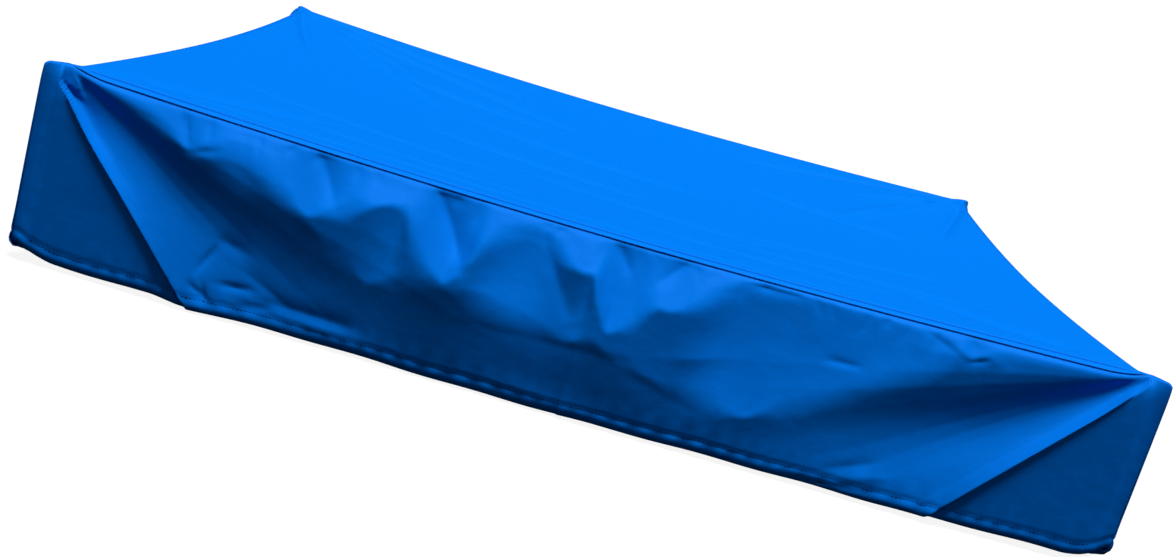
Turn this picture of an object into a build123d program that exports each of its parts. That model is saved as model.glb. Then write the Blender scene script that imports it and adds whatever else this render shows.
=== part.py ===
"""Square timber sandbox with a fitted cloth cover.

The box stands on a ground sheet: four capped corner posts, two tiers of tongue-and-groove boards
on each side, a triangular seat in each corner, and sand inside. The cover is a dished top panel
with a skirt of four panels. Its hem is a channel with an elastic cord all the way round.

Frame: +Z up, origin on the ground under the middle of the box, -Y is the front. Units: millimetres.
"""

import os
from math import atan, degrees

from build123d import *

# Timber frame
box_side = 1120.0
tiers = 2
board_thickness = 18.0
board_height = 78.0
board_chamfer = 2.0
tongue_height = 6.0
tongue_thickness = 6.0
post_side = 45.0
post_rise = 32.0
post_chamfer = 5.0

# Post caps
cap_overhang = 3.0
cap_plate = 5.0
cap_crown = 6.0
cap_corner_radius = 3.0
cap_top_side = 10.0
cap_pin_diameter = 10.0
cap_pin_length = 18.0

# Corner seats, and the cleats that carry them
seat_leg = 300.0
seat_thickness = 18.0
seat_edge_radius = 4.0
cleat_height = 30.0
cleat_thickness = 20.0
cleat_setback = 30.0

# Ground sheet and sand
sheet_thickness = 1.0
sheet_margin = 2.0
sand_below_cleats = 9.0

# Cover: how much wider than the box its hem is on each side, how far the top seam is drawn in, and
# how the tensioned cloth hangs between its corners
cover_ease = 40.0
seam_inset = 15.0
cloth = 1.2
corner_radius = 6.0
edge_bow = 10.0
edge_sag = 12.0
middle_sag = 34.0

# Hem channel, taller than it is deep, and the elastic cord in it
hem_lift = 6.0
hem_extra_height = 5.0
hem_radius = 60.0
elastic_diameter = 5.0
elastic_end_gap = 1.0
crimp_length = 18.0
crimp_wall = 0.5

# Countersunk wood screws
screw_diameter = 5.0
screw_tip = 4.0
head_diameter = 9.6
head_height = 2.4
recess_side = 2.6
recess_depth = 1.6
board_screw_length = 55.0
cleat_screw_length = 33.0
seat_screw_length = 35.0
front_screw_offset = 22.0
flank_screw_offset = 10.0
cleat_screw_inset = 25.0
seat_screw_inset = 62.0

# Clearances
slide_gap = 0.3
screw_gap = 0.1
crimp_gap = 0.1
channel_gap = 0.2
cover_gap = 0.5

# Worked out from the sizes above
half_box = box_side / 2
half_cover = half_box + cover_ease
half_top = half_cover - seam_inset
half_inside = half_box - board_thickness
post_centre = half_inside - post_side / 2
post_face = half_inside - post_side
frame_top = sheet_thickness + tiers * board_height
post_top = frame_top + post_rise
seat_bottom = frame_top - seat_thickness
cleat_middle = seat_bottom - cleat_height / 2
cleat_start = post_face - slide_gap
cleat_length = cleat_start - (half_inside - seat_leg + cleat_setback)
sand_top = seat_bottom - cleat_height - sand_below_cleats
crimp_diameter = elastic_diameter + 2 * (crimp_gap + crimp_wall)
hem_depth = crimp_diameter + 2 * (channel_gap + cloth)
hem_height = hem_depth + hem_extra_height
hem_top = hem_lift + hem_height
hem_middle = hem_lift + hem_height / 2
hem_line = half_cover - hem_depth / 2
hole_radius = screw_diameter / 2 + screw_gap
sink_radius = head_diameter / 2 + screw_gap
sink_angle = 2 * degrees(atan((head_diameter - screw_diameter) / 2 / head_height))

SIDES = {"right": 0, "back": 90, "left": 180, "front": 270}
CORNERS = {"front_left": (-1, -1), "front_right": (1, -1), "back_left": (-1, 1), "back_right": (1, 1)}
TIERS = ("lower", "upper")

os.makedirs("parts", exist_ok=True)


def save(name, shape):
    """Labels one finished piece and writes it under the name of its node."""
    shape.label = name
    export_step(shape, f"parts/{name}.step")


def side_plane(angle, distance):
    """A plane that faces outwards on one side of the box: X runs along the side and Y points up."""
    outwards = Vector(1, 0, 0).rotate(Axis.Z, angle)
    along = Vector(0, 1, 0).rotate(Axis.Z, angle)
    return Plane(origin=outwards * distance, x_dir=along, z_dir=outwards)


def facing_in(angle, distance):
    """The same plane turned to face inwards, with X running the other way along the side."""
    plane = side_plane(angle, distance)
    return Plane(origin=plane.origin, x_dir=-plane.x_dir, z_dir=-plane.z_dir)


def is_long(side):
    """The front and back boards cover the ends of the other two."""
    return side in ("front", "back")


# ------------------------------------------------------------------ cover


def top_drop(x, y):
    """How far the cover's top hangs below its corners: nothing at a corner, and most in the middle."""
    share_x = 1 - (x / half_top) ** 2
    share_y = 1 - (y / half_top) ** 2
    extra = middle_sag - 2 * edge_sag
    return edge_sag * (share_x + share_y) + extra * share_x * share_y


# The cover rests on the shoulders of the four caps, which sets its height
cap_apex = post_top + cap_plate + cap_crown
cap_shoulder = post_centre - cap_top_side / 2
cover_height = cap_apex + cover_gap + cloth + top_drop(cap_shoulder, cap_shoulder)


def outline(level, inset, radius, bow):
    """A square face with rounded corners. bow pulls the middle of each side inwards."""
    reach = half_cover - inset
    start = reach - radius
    with BuildSketch(Plane.XY.offset(level)) as sketch:
        with BuildLine():
            for angle in SIDES.values():
                first, middle, last, centre = (
                    Vector(x, y, 0).rotate(Axis.Z, angle)
                    for x, y in ((reach, -start), (reach - bow, 0), (reach, start), (start, start))
                )
                if bow:
                    ThreePointArc(first, middle, last)
                else:
                    Line(first, last)
                CenterArc(centre, radius, angle, 90)
        make_face()
    return sketch.sketch.face()


def above_top(drop):
    """All the space above the dished top, lofted through three sections with arcs for lower edges."""
    reach = half_cover + hem_radius
    ceiling = cover_height + hem_radius
    sections = []
    for y in (-reach, 0, reach):
        end, middle = (cover_height - top_drop(x, y) - drop for x in (reach, 0))
        with BuildSketch(Plane(origin=(0, y, 0), x_dir=(1, 0, 0), z_dir=(0, -1, 0))) as section:
            with BuildLine():
                ThreePointArc((-reach, end), (0, middle), (reach, end))
                Polyline((reach, end), (reach, ceiling), (-reach, ceiling), (-reach, end))
            make_face()
        sections.append(section.sketch.face())
    with BuildPart() as space:
        loft(sections)
    return space.part


def cover_block(bottom, hem_inset, wall_inset):
    """The block inside one surface of the cover: a straight hem, then walls that lean to the seam."""
    crest = cover_height + cloth
    with BuildPart() as block:
        extrude(outline(bottom, hem_inset, hem_radius - hem_inset, 0), amount=hem_top - bottom)
        loft([
            outline(hem_top, wall_inset, hem_radius - wall_inset, 0),
            outline(crest, seam_inset + wall_inset, corner_radius - wall_inset, edge_bow),
        ])
        add(above_top(wall_inset), mode=Mode.SUBTRACT)
    return block.part


with BuildPart() as hem_channel:
    extrude(outline(hem_lift + cloth, cloth, hem_radius - cloth, 0), amount=hem_height - 2 * cloth)
    wall = hem_depth - cloth
    extrude(outline(hem_lift + cloth, wall, hem_radius - wall, 0), amount=hem_height - 2 * cloth,
            mode=Mode.SUBTRACT)

with BuildPart() as cover_shell:
    add(cover_block(hem_lift, 0, 0))
    add(cover_block(0, hem_depth, cloth), mode=Mode.SUBTRACT)
    add(hem_channel.part, mode=Mode.SUBTRACT)

over_skirts = above_top(cloth)

with BuildPart() as cover_top:
    add(cover_shell.part)
    add(over_skirts, mode=Mode.INTERSECT)
save("cover_top", cover_top.part)

for side, angle in SIDES.items():
    with BuildPart() as skirt:
        add(cover_shell.part)
        add(over_skirts, mode=Mode.SUBTRACT)
        with BuildSketch(Plane.XY.rotated((0, 0, angle))):
            Polygon((0, 0), (box_side, -box_side), (box_side, box_side), align=None)
        extrude(amount=cover_height + cloth, mode=Mode.INTERSECT)
    save(f"cover_skirt_{side}", skirt.part)

with BuildPart() as hem_elastic:
    bend = hem_radius - hem_depth / 2
    straight = hem_line - bend
    with BuildLine(Plane.XY.offset(hem_middle)) as elastic_path:
        Line((-elastic_end_gap / 2, hem_line), (-straight, hem_line))
        CenterArc((-straight, straight), bend, 90, 90)
        Line((-hem_line, straight), (-hem_line, -straight))
        CenterArc((-straight, -straight), bend, 180, 90)
        Line((-straight, -hem_line), (straight, -hem_line))
        CenterArc((straight, -straight), bend, 270, 90)
        Line((hem_line, -straight), (hem_line, straight))
        CenterArc((straight, straight), bend, 0, 90)
        Line((straight, hem_line), (elastic_end_gap / 2, hem_line))
    with BuildSketch(Plane(origin=elastic_path.line @ 0, z_dir=elastic_path.line % 0)):
        Circle(elastic_diameter / 2)
    sweep(path=elastic_path.wire())
save("hem_elastic", hem_elastic.part)

with BuildPart() as elastic_crimp:
    with BuildSketch(Plane(origin=(0, hem_line, hem_middle), z_dir=(1, 0, 0))):
        Circle(crimp_diameter / 2)
        Circle(crimp_diameter / 2 - crimp_wall, mode=Mode.SUBTRACT)
    extrude(amount=crimp_length / 2, both=True)
save("elastic_crimp", elastic_crimp.part)


# ------------------------------------------------------------------ screws and their places


def wood_screw(length):
    """A countersunk screw standing on its own: head at the top on the XY plane, shank downwards."""
    shank = screw_diameter / 2
    with BuildPart() as screw:
        with BuildSketch(Plane.XZ):
            Polygon((0, 0), (head_diameter / 2, 0), (shank, -head_height), (shank, screw_tip - length),
                    (0, -length), align=None)
        revolve(axis=Axis.Z)
        with BuildSketch():
            Rectangle(recess_side, recess_side)
        extrude(amount=-recess_depth, mode=Mode.SUBTRACT)
    return screw.part


def board_screw_places(side, tier):
    """Two screws in each end of a board, as points on its side plane. The screws of two sides that
    share a post are at different heights, so that they pass each other."""
    middle = sheet_thickness + (tier + 0.5) * board_height
    offset = front_screw_offset if is_long(side) else flank_screw_offset
    return [(x, middle + z) for x in (-post_centre, post_centre) for z in (-offset, offset)]


def cleat_screw_places():
    """Two screws through each cleat into its board, as points on the side plane."""
    ends = (cleat_start - cleat_screw_inset, cleat_start - cleat_length + cleat_screw_inset)
    return [(x * hand, cleat_middle) for hand in (-1, 1) for x in ends]


def seat_screw_places(corner):
    """Two screws through each seat into each of its two cleats, as points in plan."""
    hand_x, hand_y = CORNERS[corner]
    across = half_inside - cleat_thickness / 2
    ends = (cleat_start - seat_screw_inset, cleat_start - cleat_length + seat_screw_inset)
    return [(hand_x * x, hand_y * y) for end in ends for x, y in ((end, across), (across, end))]


for side, angle in SIDES.items():
    with BuildPart() as board_screws:
        with Locations(side_plane(angle, half_box)):
            for tier in range(tiers):
                with Locations(*board_screw_places(side, tier)):
                    add(wood_screw(board_screw_length))
    save(f"board_screws_{side}", board_screws.part)

with BuildPart() as cleat_screws:
    for angle in SIDES.values():
        with Locations(facing_in(angle, half_inside - cleat_thickness)):
            with Locations(*cleat_screw_places()):
                add(wood_screw(cleat_screw_length))
save("cleat_screws", cleat_screws.part)

with BuildPart() as seat_screws:
    with Locations(Plane.XY.offset(frame_top)):
        for corner in CORNERS:
            with Locations(*seat_screw_places(corner)):
                add(wood_screw(seat_screw_length))
save("seat_screws", seat_screws.part)


# ------------------------------------------------------------------ boards


def board_section(tier):
    """Outline of a board seen from its end: X runs inwards from the outer face and Y points up."""
    low = sheet_thickness + tier * board_height
    high = low + board_height
    near = (board_thickness - tongue_thickness) / 2
    far = near + tongue_thickness
    points = [(0, low + board_chamfer), (0, high - board_chamfer), (board_chamfer, high)]
    if tier < tiers - 1:
        ridge = high + tongue_height
        points += [(near, high), (near, ridge), (far, ridge), (far, high)]
    points += [(board_thickness, high), (board_thickness, low)]
    if tier > 0:
        near, far, slot = near - slide_gap, far + slide_gap, low + tongue_height + slide_gap
        points += [(far, low), (far, slot), (near, slot), (near, low)]
    return [*points, (board_chamfer, low)]


for side, angle in SIDES.items():
    length = box_side if is_long(side) else 2 * half_inside
    outer_face = side_plane(angle, half_box)
    for tier in range(tiers):
        with BuildPart() as board:
            with BuildSketch(Plane(origin=outer_face.origin, x_dir=-outer_face.z_dir, z_dir=outer_face.x_dir)):
                Polygon(*board_section(tier), align=None)
            extrude(amount=length / 2, both=True)
            with Locations(outer_face):
                with Locations(*board_screw_places(side, tier)):
                    CounterSinkHole(hole_radius, sink_radius, depth=board_thickness,
                                    counter_sink_angle=sink_angle)
            if tier == tiers - 1:
                with Locations(facing_in(angle, half_inside)):
                    with Locations(*cleat_screw_places()):
                        Hole(hole_radius, depth=cleat_screw_length - cleat_thickness + slide_gap)
        save(f"board_{side}_{TIERS[tier]}", board.part)


# ------------------------------------------------------------------ posts and caps

cap_side = post_side + 2 * cap_overhang

for corner, (hand_x, hand_y) in CORNERS.items():
    centre = Vector(hand_x * post_centre, hand_y * post_centre, 0)

    with BuildPart() as post:
        with BuildSketch(Plane.XY.offset(sheet_thickness)):
            with Locations(centre):
                Rectangle(post_side, post_side)
        extrude(amount=post_top - sheet_thickness)
        inner_edge = post.edges().filter_by(Axis.Z).sort_by(SortBy.DISTANCE)[0]
        chamfer(inner_edge, post_chamfer)
        with Locations(centre + Vector(0, 0, post_top)):
            Hole(cap_pin_diameter / 2 + slide_gap, depth=cap_pin_length + slide_gap)
        for side, angle in SIDES.items():
            plane = side_plane(angle, half_inside)
            if centre.dot(plane.z_dir) < 0:
                continue
            reach = centre.dot(plane.x_dir)
            for tier in range(tiers):
                places = [(x, z) for x, z in board_screw_places(side, tier) if x * reach > 0]
                with Locations(plane):
                    with Locations(*places):
                        Hole(hole_radius, depth=board_screw_length - board_thickness + slide_gap)
    save(f"post_{corner}", post.part)

    with BuildPart() as cap:
        with BuildSketch(Plane.XY.offset(post_top)):
            with Locations(centre):
                RectangleRounded(cap_side, cap_side, cap_corner_radius)
        extrude(amount=cap_plate)
        with BuildSketch(Plane.XY.offset(post_top + cap_plate)):
            with Locations(centre):
                RectangleRounded(cap_side, cap_side, cap_corner_radius)
        with BuildSketch(Plane.XY.offset(cap_apex)):
            with Locations(centre):
                RectangleRounded(cap_top_side, cap_top_side, cap_corner_radius)
        loft()
        with BuildSketch(Plane.XY.offset(post_top)):
            with Locations(centre):
                Circle(cap_pin_diameter / 2)
        extrude(amount=-cap_pin_length)
    save(f"cap_{corner}", cap.part)


# ------------------------------------------------------------------ seats and cleats

for corner, (hand_x, hand_y) in CORNERS.items():
    edge, tip, notch = half_inside - slide_gap, half_inside - seat_leg, post_face - slide_gap
    corners = [(tip, edge), (notch, edge), (notch, notch), (edge, notch), (edge, tip)]

    with BuildPart() as seat:
        with BuildSketch(Plane.XY.offset(seat_bottom)):
            Polygon(*((hand_x * x, hand_y * y) for x, y in corners), align=None)
        extrude(amount=seat_thickness)
        front_edge = seat.faces().sort_by(Axis.Z)[-1].edges().sort_by(SortBy.LENGTH)[-1]
        fillet(front_edge, seat_edge_radius)
        with Locations(Plane.XY.offset(frame_top)):
            with Locations(*seat_screw_places(corner)):
                CounterSinkHole(hole_radius, sink_radius, depth=seat_thickness, counter_sink_angle=sink_angle)
    save(f"seat_{corner}", seat.part)

    for side in corner.split("_"):
        other = corner.replace(side, "").strip("_")
        plane = side_plane(SIDES[side], half_inside)
        hand = 1 if Vector(hand_x, hand_y, 0).dot(plane.x_dir) > 0 else -1
        with BuildPart() as cleat:
            with BuildSketch(plane):
                with Locations((hand * (cleat_start - cleat_length / 2), cleat_middle)):
                    Rectangle(cleat_length, cleat_height)
            extrude(amount=-cleat_thickness)
            with Locations(facing_in(SIDES[side], half_inside - cleat_thickness)):
                with Locations(*((x, z) for x, z in cleat_screw_places() if x * hand < 0)):
                    CounterSinkHole(hole_radius, sink_radius, depth=cleat_thickness,
                                    counter_sink_angle=sink_angle)
            with Locations(Plane.XY.offset(seat_bottom)):
                with Locations(*seat_screw_places(corner)):
                    Hole(hole_radius, depth=seat_screw_length - seat_thickness + slide_gap)
        save(f"cleat_{side}_near_{other}", cleat.part)


# ------------------------------------------------------------------ ground sheet and sand

with BuildPart() as ground_sheet:
    with BuildSketch():
        Rectangle(box_side - 2 * sheet_margin, box_side - 2 * sheet_margin)
    extrude(amount=sheet_thickness)
save("ground_sheet", ground_sheet.part)

with BuildPart() as sand_fill:
    with BuildSketch(Plane.XY.offset(sheet_thickness)):
        Rectangle(2 * (half_inside - slide_gap), 2 * (half_inside - slide_gap))
        with Locations(*((x * post_centre, y * post_centre) for x, y in CORNERS.values())):
            Rectangle(post_side + 2 * slide_gap, post_side + 2 * slide_gap, mode=Mode.SUBTRACT)
    extrude(amount=sand_top - sheet_thickness)
save("sand_fill", sand_fill.part)
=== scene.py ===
# %% [markdown]
# # A square sandbox under a fitted cloth cover
#
# The CAD model gives the timber box, its screws, the sand and a plain closed solid for each panel of
# the cover. This lesson keeps the hard pieces and gives them real materials. The cloth panels, the
# elastic in the hem, the ground sheet and the sand are modelled again here as what they are, and each
# one stands in for its CAD solid. The sizes of the cover are in millimetres until a mesh is written,
# and all others are in metres.

# %% Load the frame
from math import cos, pi, radians, sin

import bmesh
import bpy
import numpy as np
from mathutils import Matrix, Quaternion, Vector
from mathutils.bvhtree import BVHTree


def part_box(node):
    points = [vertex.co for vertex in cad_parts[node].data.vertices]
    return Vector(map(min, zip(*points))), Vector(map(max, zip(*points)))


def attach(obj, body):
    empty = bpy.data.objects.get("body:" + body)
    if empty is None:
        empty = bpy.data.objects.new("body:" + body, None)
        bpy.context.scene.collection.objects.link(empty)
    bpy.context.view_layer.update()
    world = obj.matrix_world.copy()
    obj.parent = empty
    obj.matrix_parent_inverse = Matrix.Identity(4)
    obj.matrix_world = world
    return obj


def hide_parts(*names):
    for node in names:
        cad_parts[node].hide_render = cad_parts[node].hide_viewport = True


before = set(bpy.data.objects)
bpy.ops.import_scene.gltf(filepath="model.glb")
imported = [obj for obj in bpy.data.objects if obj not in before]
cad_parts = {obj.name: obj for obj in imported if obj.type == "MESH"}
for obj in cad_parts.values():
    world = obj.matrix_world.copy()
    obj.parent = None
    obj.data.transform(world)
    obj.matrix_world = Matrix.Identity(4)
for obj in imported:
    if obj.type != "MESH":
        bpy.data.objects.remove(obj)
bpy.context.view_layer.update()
MM = 0.001

# %% [markdown]
# ## Camera
#
# A camera is placed by where it stands, which way it looks and how far it is tipped. This one stands
# 2.3 m from the middle of the box and half a metre up, looks slightly down, and is rolled so that the
# box seems to slope to the right. The lens length sets how strongly the far edge of the cover shrinks.

# %% Camera
CAMERA_PLACE = Vector((-0.0321, -2.2917, 0.5028))
CAMERA_YAW, CAMERA_PITCH, CAMERA_ROLL = radians(0.772), radians(-11.845), radians(16.199)

camera_data = bpy.data.cameras.new("camera")
camera_data.sensor_width = 36.0
camera_data.lens = 52.944
camera = bpy.data.objects.new("camera", camera_data)
bpy.context.scene.collection.objects.link(camera)
look = Vector((sin(CAMERA_YAW) * cos(CAMERA_PITCH), cos(CAMERA_YAW) * cos(CAMERA_PITCH),
               sin(CAMERA_PITCH)))
camera.rotation_mode = "QUATERNION"
camera.rotation_quaternion = look.to_track_quat("-Z", "Y") @ Quaternion((0, 0, 1), CAMERA_ROLL)
camera.location = CAMERA_PLACE
bpy.context.scene.camera = camera
print("camera looks along", [round(value, 3) for value in look])

# %% [markdown]
# ## Floor and light
#
# The floor is one large white disc, lit from below like a light table, so that shadows on it stay
# faint. The main light is a wide soft lamp almost straight above and a little in front, as a softbox
# on a boom would be: it makes the top and the outward slopes of the folds bright and leaves the
# hollows under them dark. A weak card in front lifts the panels that face it. The room looks white,
# but neither it nor the floor sends white light back to the cloth, as if black cards stood round the
# box, because that would fill the hollows in. All it gives is a very dim blue-green glow.

# %% Floor, lamp and surroundings
bpy.context.scene.view_settings.view_transform = "Standard"


def linear(hex_colour):
    """An sRGB colour written as #rrggbb, turned to the linear values that shaders use."""
    channels = [int(hex_colour[i:i + 2], 16) / 255 for i in (1, 3, 5)]
    return [c / 12.92 if c <= 0.04045 else ((c + 0.055) / 1.055) ** 2.4 for c in channels] + [1.0]


def add_node(tree, kind, settings=None, **links):
    """Adds one node. settings are its properties; links are its sockets, each a value or a socket."""
    node = tree.nodes.new(kind)
    for name, value in (settings or {}).items():
        setattr(node, name, value)
    for name, value in links.items():
        socket = node.inputs[int(name[1:])] if name[0] == "i" and name[1:].isdigit() \
            else node.inputs[name.replace("_", " ")]
        if isinstance(value, bpy.types.NodeSocket):
            tree.links.new(value, socket)
        else:
            socket.default_value = value
    return node


def new_material(name):
    """An empty node material, and its node tree."""
    material = bpy.data.materials.new(name)
    material.use_nodes = True
    material.node_tree.nodes.clear()
    return material, material.node_tree


FLOOR_GLOW = 0.9        # how much of the floor's look is its own light
FLOOR_RADIUS, FLOOR_DROP = 30.0, 0.0004     # metres; the floor lies just under the ground sheet

studio_floor, tree = new_material("white studio floor, lit from below")
matt_face = add_node(tree, "ShaderNodeBsdfDiffuse", Color=linear("#f6f6f5"))
lit_face = add_node(tree, "ShaderNodeEmission", Color=linear("#ffffff"), Strength=1.0)
floor_shader = add_node(tree, "ShaderNodeMixShader", i0=FLOOR_GLOW, i1=matt_face.outputs[0],
                        i2=lit_face.outputs[0])
add_node(tree, "ShaderNodeOutputMaterial", Surface=floor_shader.outputs[0])

floor_mesh = bpy.data.meshes.new("studio_floor")
floor_shape = bmesh.new()
bmesh.ops.create_circle(floor_shape, cap_ends=True, segments=96, radius=FLOOR_RADIUS)
bmesh.ops.translate(floor_shape, verts=floor_shape.verts, vec=(0, 0, -FLOOR_DROP))
floor_shape.to_mesh(floor_mesh)
floor_shape.free()
floor_mesh.materials.append(studio_floor)
studio = bpy.data.objects.new("studio_floor", floor_mesh)
bpy.context.scene.collection.objects.link(studio)
studio.visible_diffuse = False
studio.visible_glossy = False

lamp_data = bpy.data.lights.new("overhead_softbox", "SUN")
lamp_data.energy = 5.5
lamp_data.angle = radians(26)
lamp = bpy.data.objects.new("overhead_softbox", lamp_data)
lamp.rotation_euler = (radians(7), radians(1), 0)
bpy.context.scene.collection.objects.link(lamp)

card_data = bpy.data.lights.new("front_card", "SUN")
card_data.energy = 0.27
card_data.angle = radians(70)
card = bpy.data.objects.new("front_card", card_data)
card.rotation_euler = (radians(72), 0, 0)
bpy.context.scene.collection.objects.link(card)

world = bpy.data.worlds.new("studio_room")
world.use_nodes = True
world.node_tree.nodes.clear()
sight = add_node(world.node_tree, "ShaderNodeLightPath")
dim = add_node(world.node_tree, "ShaderNodeBackground", Color=linear("#008c96"), Strength=0.05)
pale = add_node(world.node_tree, "ShaderNodeBackground", Color=linear("#ffffff"), Strength=1.0)
either = add_node(world.node_tree, "ShaderNodeMixShader", i0=sight.outputs["Is Camera Ray"],
                  i1=dim.outputs[0], i2=pale.outputs[0])
add_node(world.node_tree, "ShaderNodeOutputWorld", Surface=either.outputs[0])
bpy.context.scene.world = world

# %% [markdown]
# ## The shape of the cover
#
# A fitted cover is a square top panel sewn to a skirt. The cloth is pulled down at the hem by elastic,
# so everything about its shape is tension: the seam between two corners sags and draws in, the top is
# dished, and the corners stand up in peaks. Each corner is a little too big for the box, so it pinches
# into a small ear. Below, the skirt slopes out over the rim of the box and then falls to the hem.
#
# Cloth this taut could be simulated, but a simulation puts its folds where it likes. Here each panel
# is a fine grid, and the folds are laid on it one by one, each as a short named measure: where it
# starts, where it ends, how deep and how sharp it is. A maker draping a pattern works the same way.

# %% Measures of the cover
ROOT = 571.0            # the corner of the top panel, where the ear begins
# for each corner: the length of its ear, how much it stands above PEAK, and how much further its hem
# is pulled up
EARS = {"front_left": 24.0, "front_right": 24.0, "back_right": 17.0, "back_left": 9.0}
LIFTS = {"front_left": 0.0, "front_right": 0.0, "back_right": 0.0, "back_left": 4.0}
RISES = {"front_left": 3.0, "front_right": 9.0, "back_right": 2.0, "back_left": 2.0}
PEAK = 207.0            # height of a corner
SAGS = {"front": 13.0, "right": 14.0, "back": 11.0, "left": 9.0}       # drop of each seam half way along
BOW = 5.0               # how far a seam is drawn in half way along
MIDDLE_SAG = 36.0       # drop of the top panel in the middle
STRIP = 9.0             # the turned-in seam allowance, stitched flat
STRIP_DROP = 4.0        # how far the strip leans down to the seam
HEM = 603.0             # half the width at the hem
HEM_RADIUS = 60.0       # the hem's corner, in plan
HEM_BOTTOM = 2.5        # the hem's height above the ground, before its unevenness
HEM_HEIGHT = 13.0       # the channel for the elastic
HEM_TUCK = 3.2          # how far the bottom of the channel turns under
CLOTH = 1.2             # thickness of the cloth
SKIRT_HEIGHT = 190.0    # from seam to hem, near enough
PEAK_LEDGE = 14.0       # how far the cloth steps out just under a corner peak
CAP_AT, CAP_TOP = 519.5, 202.0      # middle of a post cap, and the least height of the cloth there
HALF_HEM = HEM - HEM_RADIUS + HEM_RADIUS * pi / 4       # half the hem of one side, round to the corner

# A side is described from outside: along runs to its right, out is away from the box
SIDES = {"front": ((1, 0), (0, -1)), "right": ((0, 1), (1, 0)), "back": ((-1, 0), (0, 1)),
         "left": ((0, -1), (-1, 0))}
ENDS = {"front": ("front_left", "front_right"), "right": ("front_right", "back_right"),
        "back": ("back_right", "back_left"), "left": ("back_left", "front_left")}


def step(value, low, high):
    """0 below low, 1 above high, and a smooth rise between them."""
    share = np.clip((value - low) / (high - low), 0, 1)
    return share * share * (3 - 2 * share)


def through(places, values, at):
    """A line through given points, with its corners slightly rounded."""
    fine = np.linspace(places[0], places[-1], 600)
    line = np.interp(fine, places, values)
    kernel = np.hanning(7)
    line = np.convolve(np.pad(line, 3, mode="edge"), kernel / kernel.sum(), mode="valid")
    return np.interp(at, fine, line)


def crease(along, down, start, end, depth, width, skew=1.0):
    """A straight fold between two points of a panel. A positive depth is a hollow and a negative one a
    ridge. skew makes the flank on its right wider or narrower than the other."""
    (x0, y0), (x1, y1) = start, end
    length = np.hypot(x1 - x0, y1 - y0)
    run = ((along - x0) * (x1 - x0) + (down - y0) * (y1 - y0)) / length ** 2
    off = ((along - x0) * (y1 - y0) - (down - y0) * (x1 - x0)) / length
    beyond = np.maximum(np.maximum(-run, run - 1), 0) * length
    flank = np.where(off > 0, width * skew, width)
    taper = np.sin(np.clip(run, 0.03, 0.97) * pi) ** 0.6
    return depth * taper * np.exp(-np.abs(off / flank) ** 1.25 - (beyond / width) ** 2)


def ear_length(side, along):
    """The length of the ear at the end of a side that a place is nearer to."""
    left, right = ENDS[side]
    return np.where(along < 0, EARS[left], EARS[right])


def corner_rise(side, along):
    """How much further the hem is pulled up at the very corner."""
    left, right = ENDS[side]
    return np.where(along < 0, RISES[left], RISES[right]) * step(np.abs(along), 562, 594)


def seam_line(side, along):
    """The seam on one side, as (along, out, up). It follows the top panel's edge, then the ear."""
    share = np.clip(np.abs(along) / ROOT, 0, 1)
    past = np.maximum(np.abs(along) - ROOT, 0)
    ear = past / np.sqrt(2)
    place = np.sign(along) * (np.minimum(np.abs(along), ROOT) + ear)
    out = ROOT - BOW * (1 - share ** 2) + ear
    left, right = (LIFTS[end] for end in ENDS[side])
    corner = PEAK + np.where(along < 0, left, right) * share ** 3
    up = corner - SAGS[side] * (1 - share ** 1.8) - STRIP_DROP * step(1 - share, 0, 0.08)
    tip = np.maximum(past - ear_length(side, along) + 6, 0) / 6
    return place, out, up - 3.0 * tip ** 2


def hem_line(side, along):
    """The hem on one side, as (along, out). It is straight, with half of each rounded corner."""
    run = np.abs(along) * HALF_HEM / (ROOT + ear_length(side, along))
    turn = np.maximum(run - (HEM - HEM_RADIUS), 0) / HEM_RADIUS
    place = np.sign(along) * (np.minimum(run, HEM - HEM_RADIUS) + HEM_RADIUS * np.sin(turn))
    return place, HEM - HEM_RADIUS * (1 - np.cos(turn))


print("half seam", round(ROOT + EARS["front_left"], 1), "mm, half hem", round(HALF_HEM, 1), "mm")
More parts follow.
